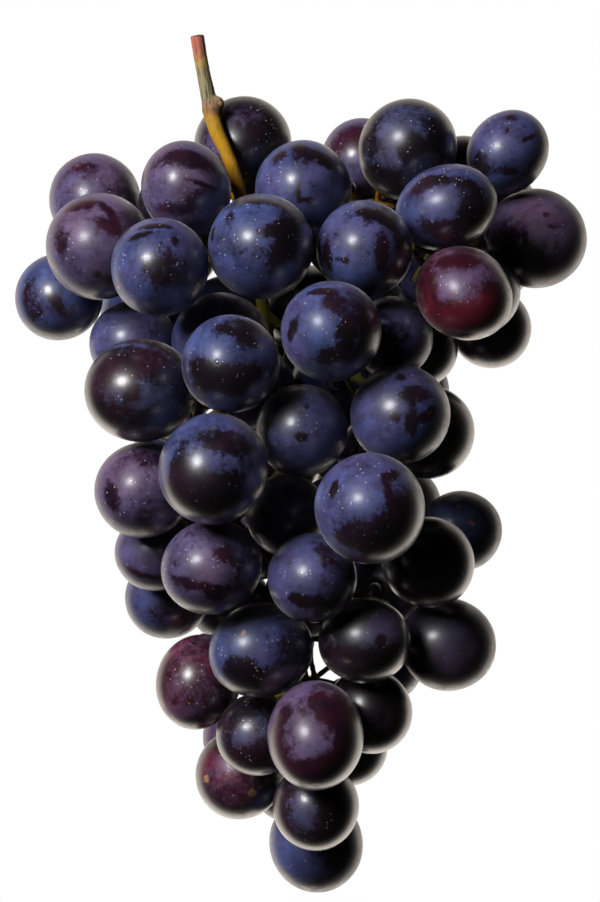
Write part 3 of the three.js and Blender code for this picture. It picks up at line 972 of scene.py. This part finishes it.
# Small dry scars: (right, up, radius), in half-girths, as seen on the face.
SCARS = {
    "left_berry_4": [(-0.83, -0.42, 0.06)],
    "body_berry_17": [(-0.1, -0.3, 0.025)],
    "tail_berry_1": [(0.25, 0.25, 0.07), (0.7, -0.45, 0.09), (-0.1, 0.6, 0.06)],
    "tail_berry_2": [(0.1, -0.85, 0.07)],
    "tail_berry_3": [(-0.2, -0.83, 0.08)],
    "tail_berry_4": [(0.6, -0.62, 0.07)],
    "tail_berry_5": [(-0.36, 0.42, 0.07)],
    "tail_berry_6": [(-0.2, -0.45, 0.045), (0.15, -0.5, 0.03)],
    "tail_berry_10": [(-0.75, -0.1, 0.1), (0.28, -0.38, 0.11)],
}


# How each skin looks: bare skin and its mottle, bloom and its tint, how much of the skin the bloom covers,
# how patchy it is and how soft the edges of its patches are.
LOOKS = {
    "blue_skin": {
        "skin": (0.0050, 0.0022, 0.0050, 1),
        "mottle": (0.0120, 0.0040, 0.0100, 1),
        "bloom": (0.040, 0.058, 0.168, 1),
        "bloom_tint": (0.060, 0.058, 0.160, 1),
        "cover": 0.50,
        "patchy": 1.3,
        "soft": 1.2,
    },
    "purple_skin": {
        "skin": (0.0090, 0.0022, 0.0080, 1),
        "mottle": (0.0230, 0.0035, 0.0110, 1),
        "bloom": (0.075, 0.063, 0.145, 1),
        "bloom_tint": (0.100, 0.062, 0.125, 1),
        "cover": 0.50,
        "patchy": 1.4,
        "soft": 1.7,
    },
    "black_skin": {
        "skin": (0.0040, 0.0018, 0.0040, 1),
        "mottle": (0.0150, 0.0040, 0.0080, 1),
        "bloom": (0.045, 0.052, 0.120, 1),
        "bloom_tint": (0.062, 0.048, 0.110, 1),
        "cover": -0.28,
        "patchy": 1.5,
        "soft": 1.8,
    },
    "red_skin": {
        "skin": (0.0200, 0.0020, 0.0060, 1),
        "mottle": (0.0750, 0.0050, 0.0120, 1),
        "bloom": (0.085, 0.050, 0.115, 1),
        "bloom_tint": (0.110, 0.050, 0.100, 1),
        "cover": 0.02,
        "patchy": 1.6,
        "soft": 2.2,
    },
}


# How dusty with pale specks a berry is; the others are at the usual share.
USUAL_DUST = 0.15
DUST = {
    "left_berry_3": 0.16,
    "right_berry_2": 0.16,
    "body_berry_1": 0.17,
    "body_berry_2": 0.16,
    "body_berry_6": 0.16,
    "body_berry_11": 0.24,
    "body_berry_12": 0.2,
    "body_berry_16": 0.17,
    "body_berry_18": 0.22,
    "tail_berry_5": 0.24,
    "tail_berry_8": 0.02,
    "tail_berry_9": 0.02,
}


# ---- the berries ----

slot_of = {part["node"]: part["material_slot"] for part in frame["record"]["subparts"]}


def paint_bloom_and_shade(piece, values):
    layer = piece.data.attributes.new("bloom", "FLOAT", "POINT")
    layer.data.foreach_set("value", np.asarray(values, np.float32))


def scars_on(node, berry):
    """The node's scars as (point, radius)."""
    half = berry["half_girth"]
    marks = SCARS.get(node, [])
    return [(berry["middle"] + face_point(right, up) * half, size * half) for right, up, size in marks]


def build_berry(pattern, node, name, berry, others, order):
    piece = grow_berry(pattern, berry, f"grape_{name}", seed=order * 3.7)
    press_flat(piece, berry, others)
    look = dict(LOOKS[slot_of[node]], seed=order * 1.9)
    look["dust"] = DUST.get(node, USUAL_DUST)
    look["scars"] = scars_on(node, berry)
    # The bloom attribute carries the bloom cover plus the listed marks, painted shade and painted light
    # among them.
    paint_bloom_and_shade(piece, look["cover"] + mark_field(piece, berry, MARKS_WITH_PAINTED_LIGHT_AND_SHADE.get(node, [])))
    piece.data.materials.clear()
    piece.data.materials.append(grape_skin(f"skin_{name}", berry, look))
    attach(piece, "root")
    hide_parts(node)


def build_berries():
    """A grape for every berry of every CAD node."""
    stalk_points = corners(frame["nodes"]["stem"])
    pattern = pattern_berry()
    order = 0
    for node in sorted(slot_of):
        if node == "stem":
            continue
        found = berries_in(node, stalk_points)
        for k, berry in enumerate(found):
            order += 1
            name = node if len(found) == 1 else f"{node}_{k + 1}"
            others = [other for other in found if other is not berry]
            build_berry(pattern, node, name, berry, others, order)
    bpy.data.objects.remove(pattern)


# ---- the stalk ----

JOINT_LUMP = (2.5 * MM, 2.4 * MM, 2.6 * MM)
BUD_LUMP = (1.55 * MM, 1.45 * MM, 1.9 * MM)
STALK_GRID = 0.41 * MM


def add_swelling(stalk, place, size):
    """A rounded lump that grows out of the stalk."""
    bpy.ops.object.select_all(action="DESELECT")
    bpy.ops.mesh.primitive_uv_sphere_add(segments=24, ring_count=16, radius=1)
    lump = bpy.context.active_object
    lump.data.transform(Matrix.Translation(place) @ Matrix.Diagonal(Vector(size).to_4d()))
    stalk.select_set(True)
    bpy.context.view_layer.objects.active = stalk
    bpy.ops.object.join()


def build_stalk():
    """The CAD stalk with its swollen joint and bud, under one even skin."""
    stalk = merged_copy("stem", "stalk")
    add_swelling(stalk, JOINT, JOINT_LUMP)
    add_swelling(stalk, BUD, BUD_LUMP)
    remesh = stalk.modifiers.new("skin", "REMESH")
    remesh.mode = "VOXEL"
    remesh.voxel_size = STALK_GRID
    bpy.ops.object.modifier_apply(modifier=remesh.name)
    smooth = stalk.modifiers.new("even", "CORRECTIVE_SMOOTH")
    smooth.iterations = 4
    smooth.use_only_smooth = True
    bpy.ops.object.modifier_apply(modifier=smooth.name)
    stalk.data.shade_smooth()
    stalk.data.materials.clear()
    stalk.data.materials.append(stalk_skin())
    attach(stalk, "root")
    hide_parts("stem")


# ---- the floor, well under the hanging bunch ----

FLOOR_DROP = 150 * MM
FLOOR_MIDDLE = (0.024, -0.35)
FLOOR_SIZE = (3, 3.3)
FLOOR_GREY = (0.35, 0.35, 0.35, 1)
FLOOR_GLOW = (1.0, 0.99, 0.98, 1)


def build_floor():
    """A pale floor that shines a little, and sheds no light on the bunch."""
    bpy.ops.object.select_all(action="DESELECT")
    level = CAD_BOX[0][2] - FLOOR_DROP
    bpy.ops.mesh.primitive_plane_add(size=1, location=(0, 0, 0))
    floor = bpy.context.active_object
    floor.name = "floor"
    floor.data.transform(Matrix.Translation((*FLOOR_MIDDLE, level)) @ Matrix.Diagonal((*FLOOR_SIZE, 1, 1)))
    pale = Nodes("pale_floor")
    pale.shader.inputs["Base Color"].default_value = FLOOR_GREY
    pale.shader.inputs["Emission Color"].default_value = FLOOR_GLOW
    pale.shader.inputs["Emission Strength"].default_value = 0.75
    pale.shader.inputs["Roughness"].default_value = 0.8
    floor.data.materials.append(pale.material)
    floor.visible_diffuse = floor.visible_glossy = False


build_berries()
build_stalk()
build_floor()
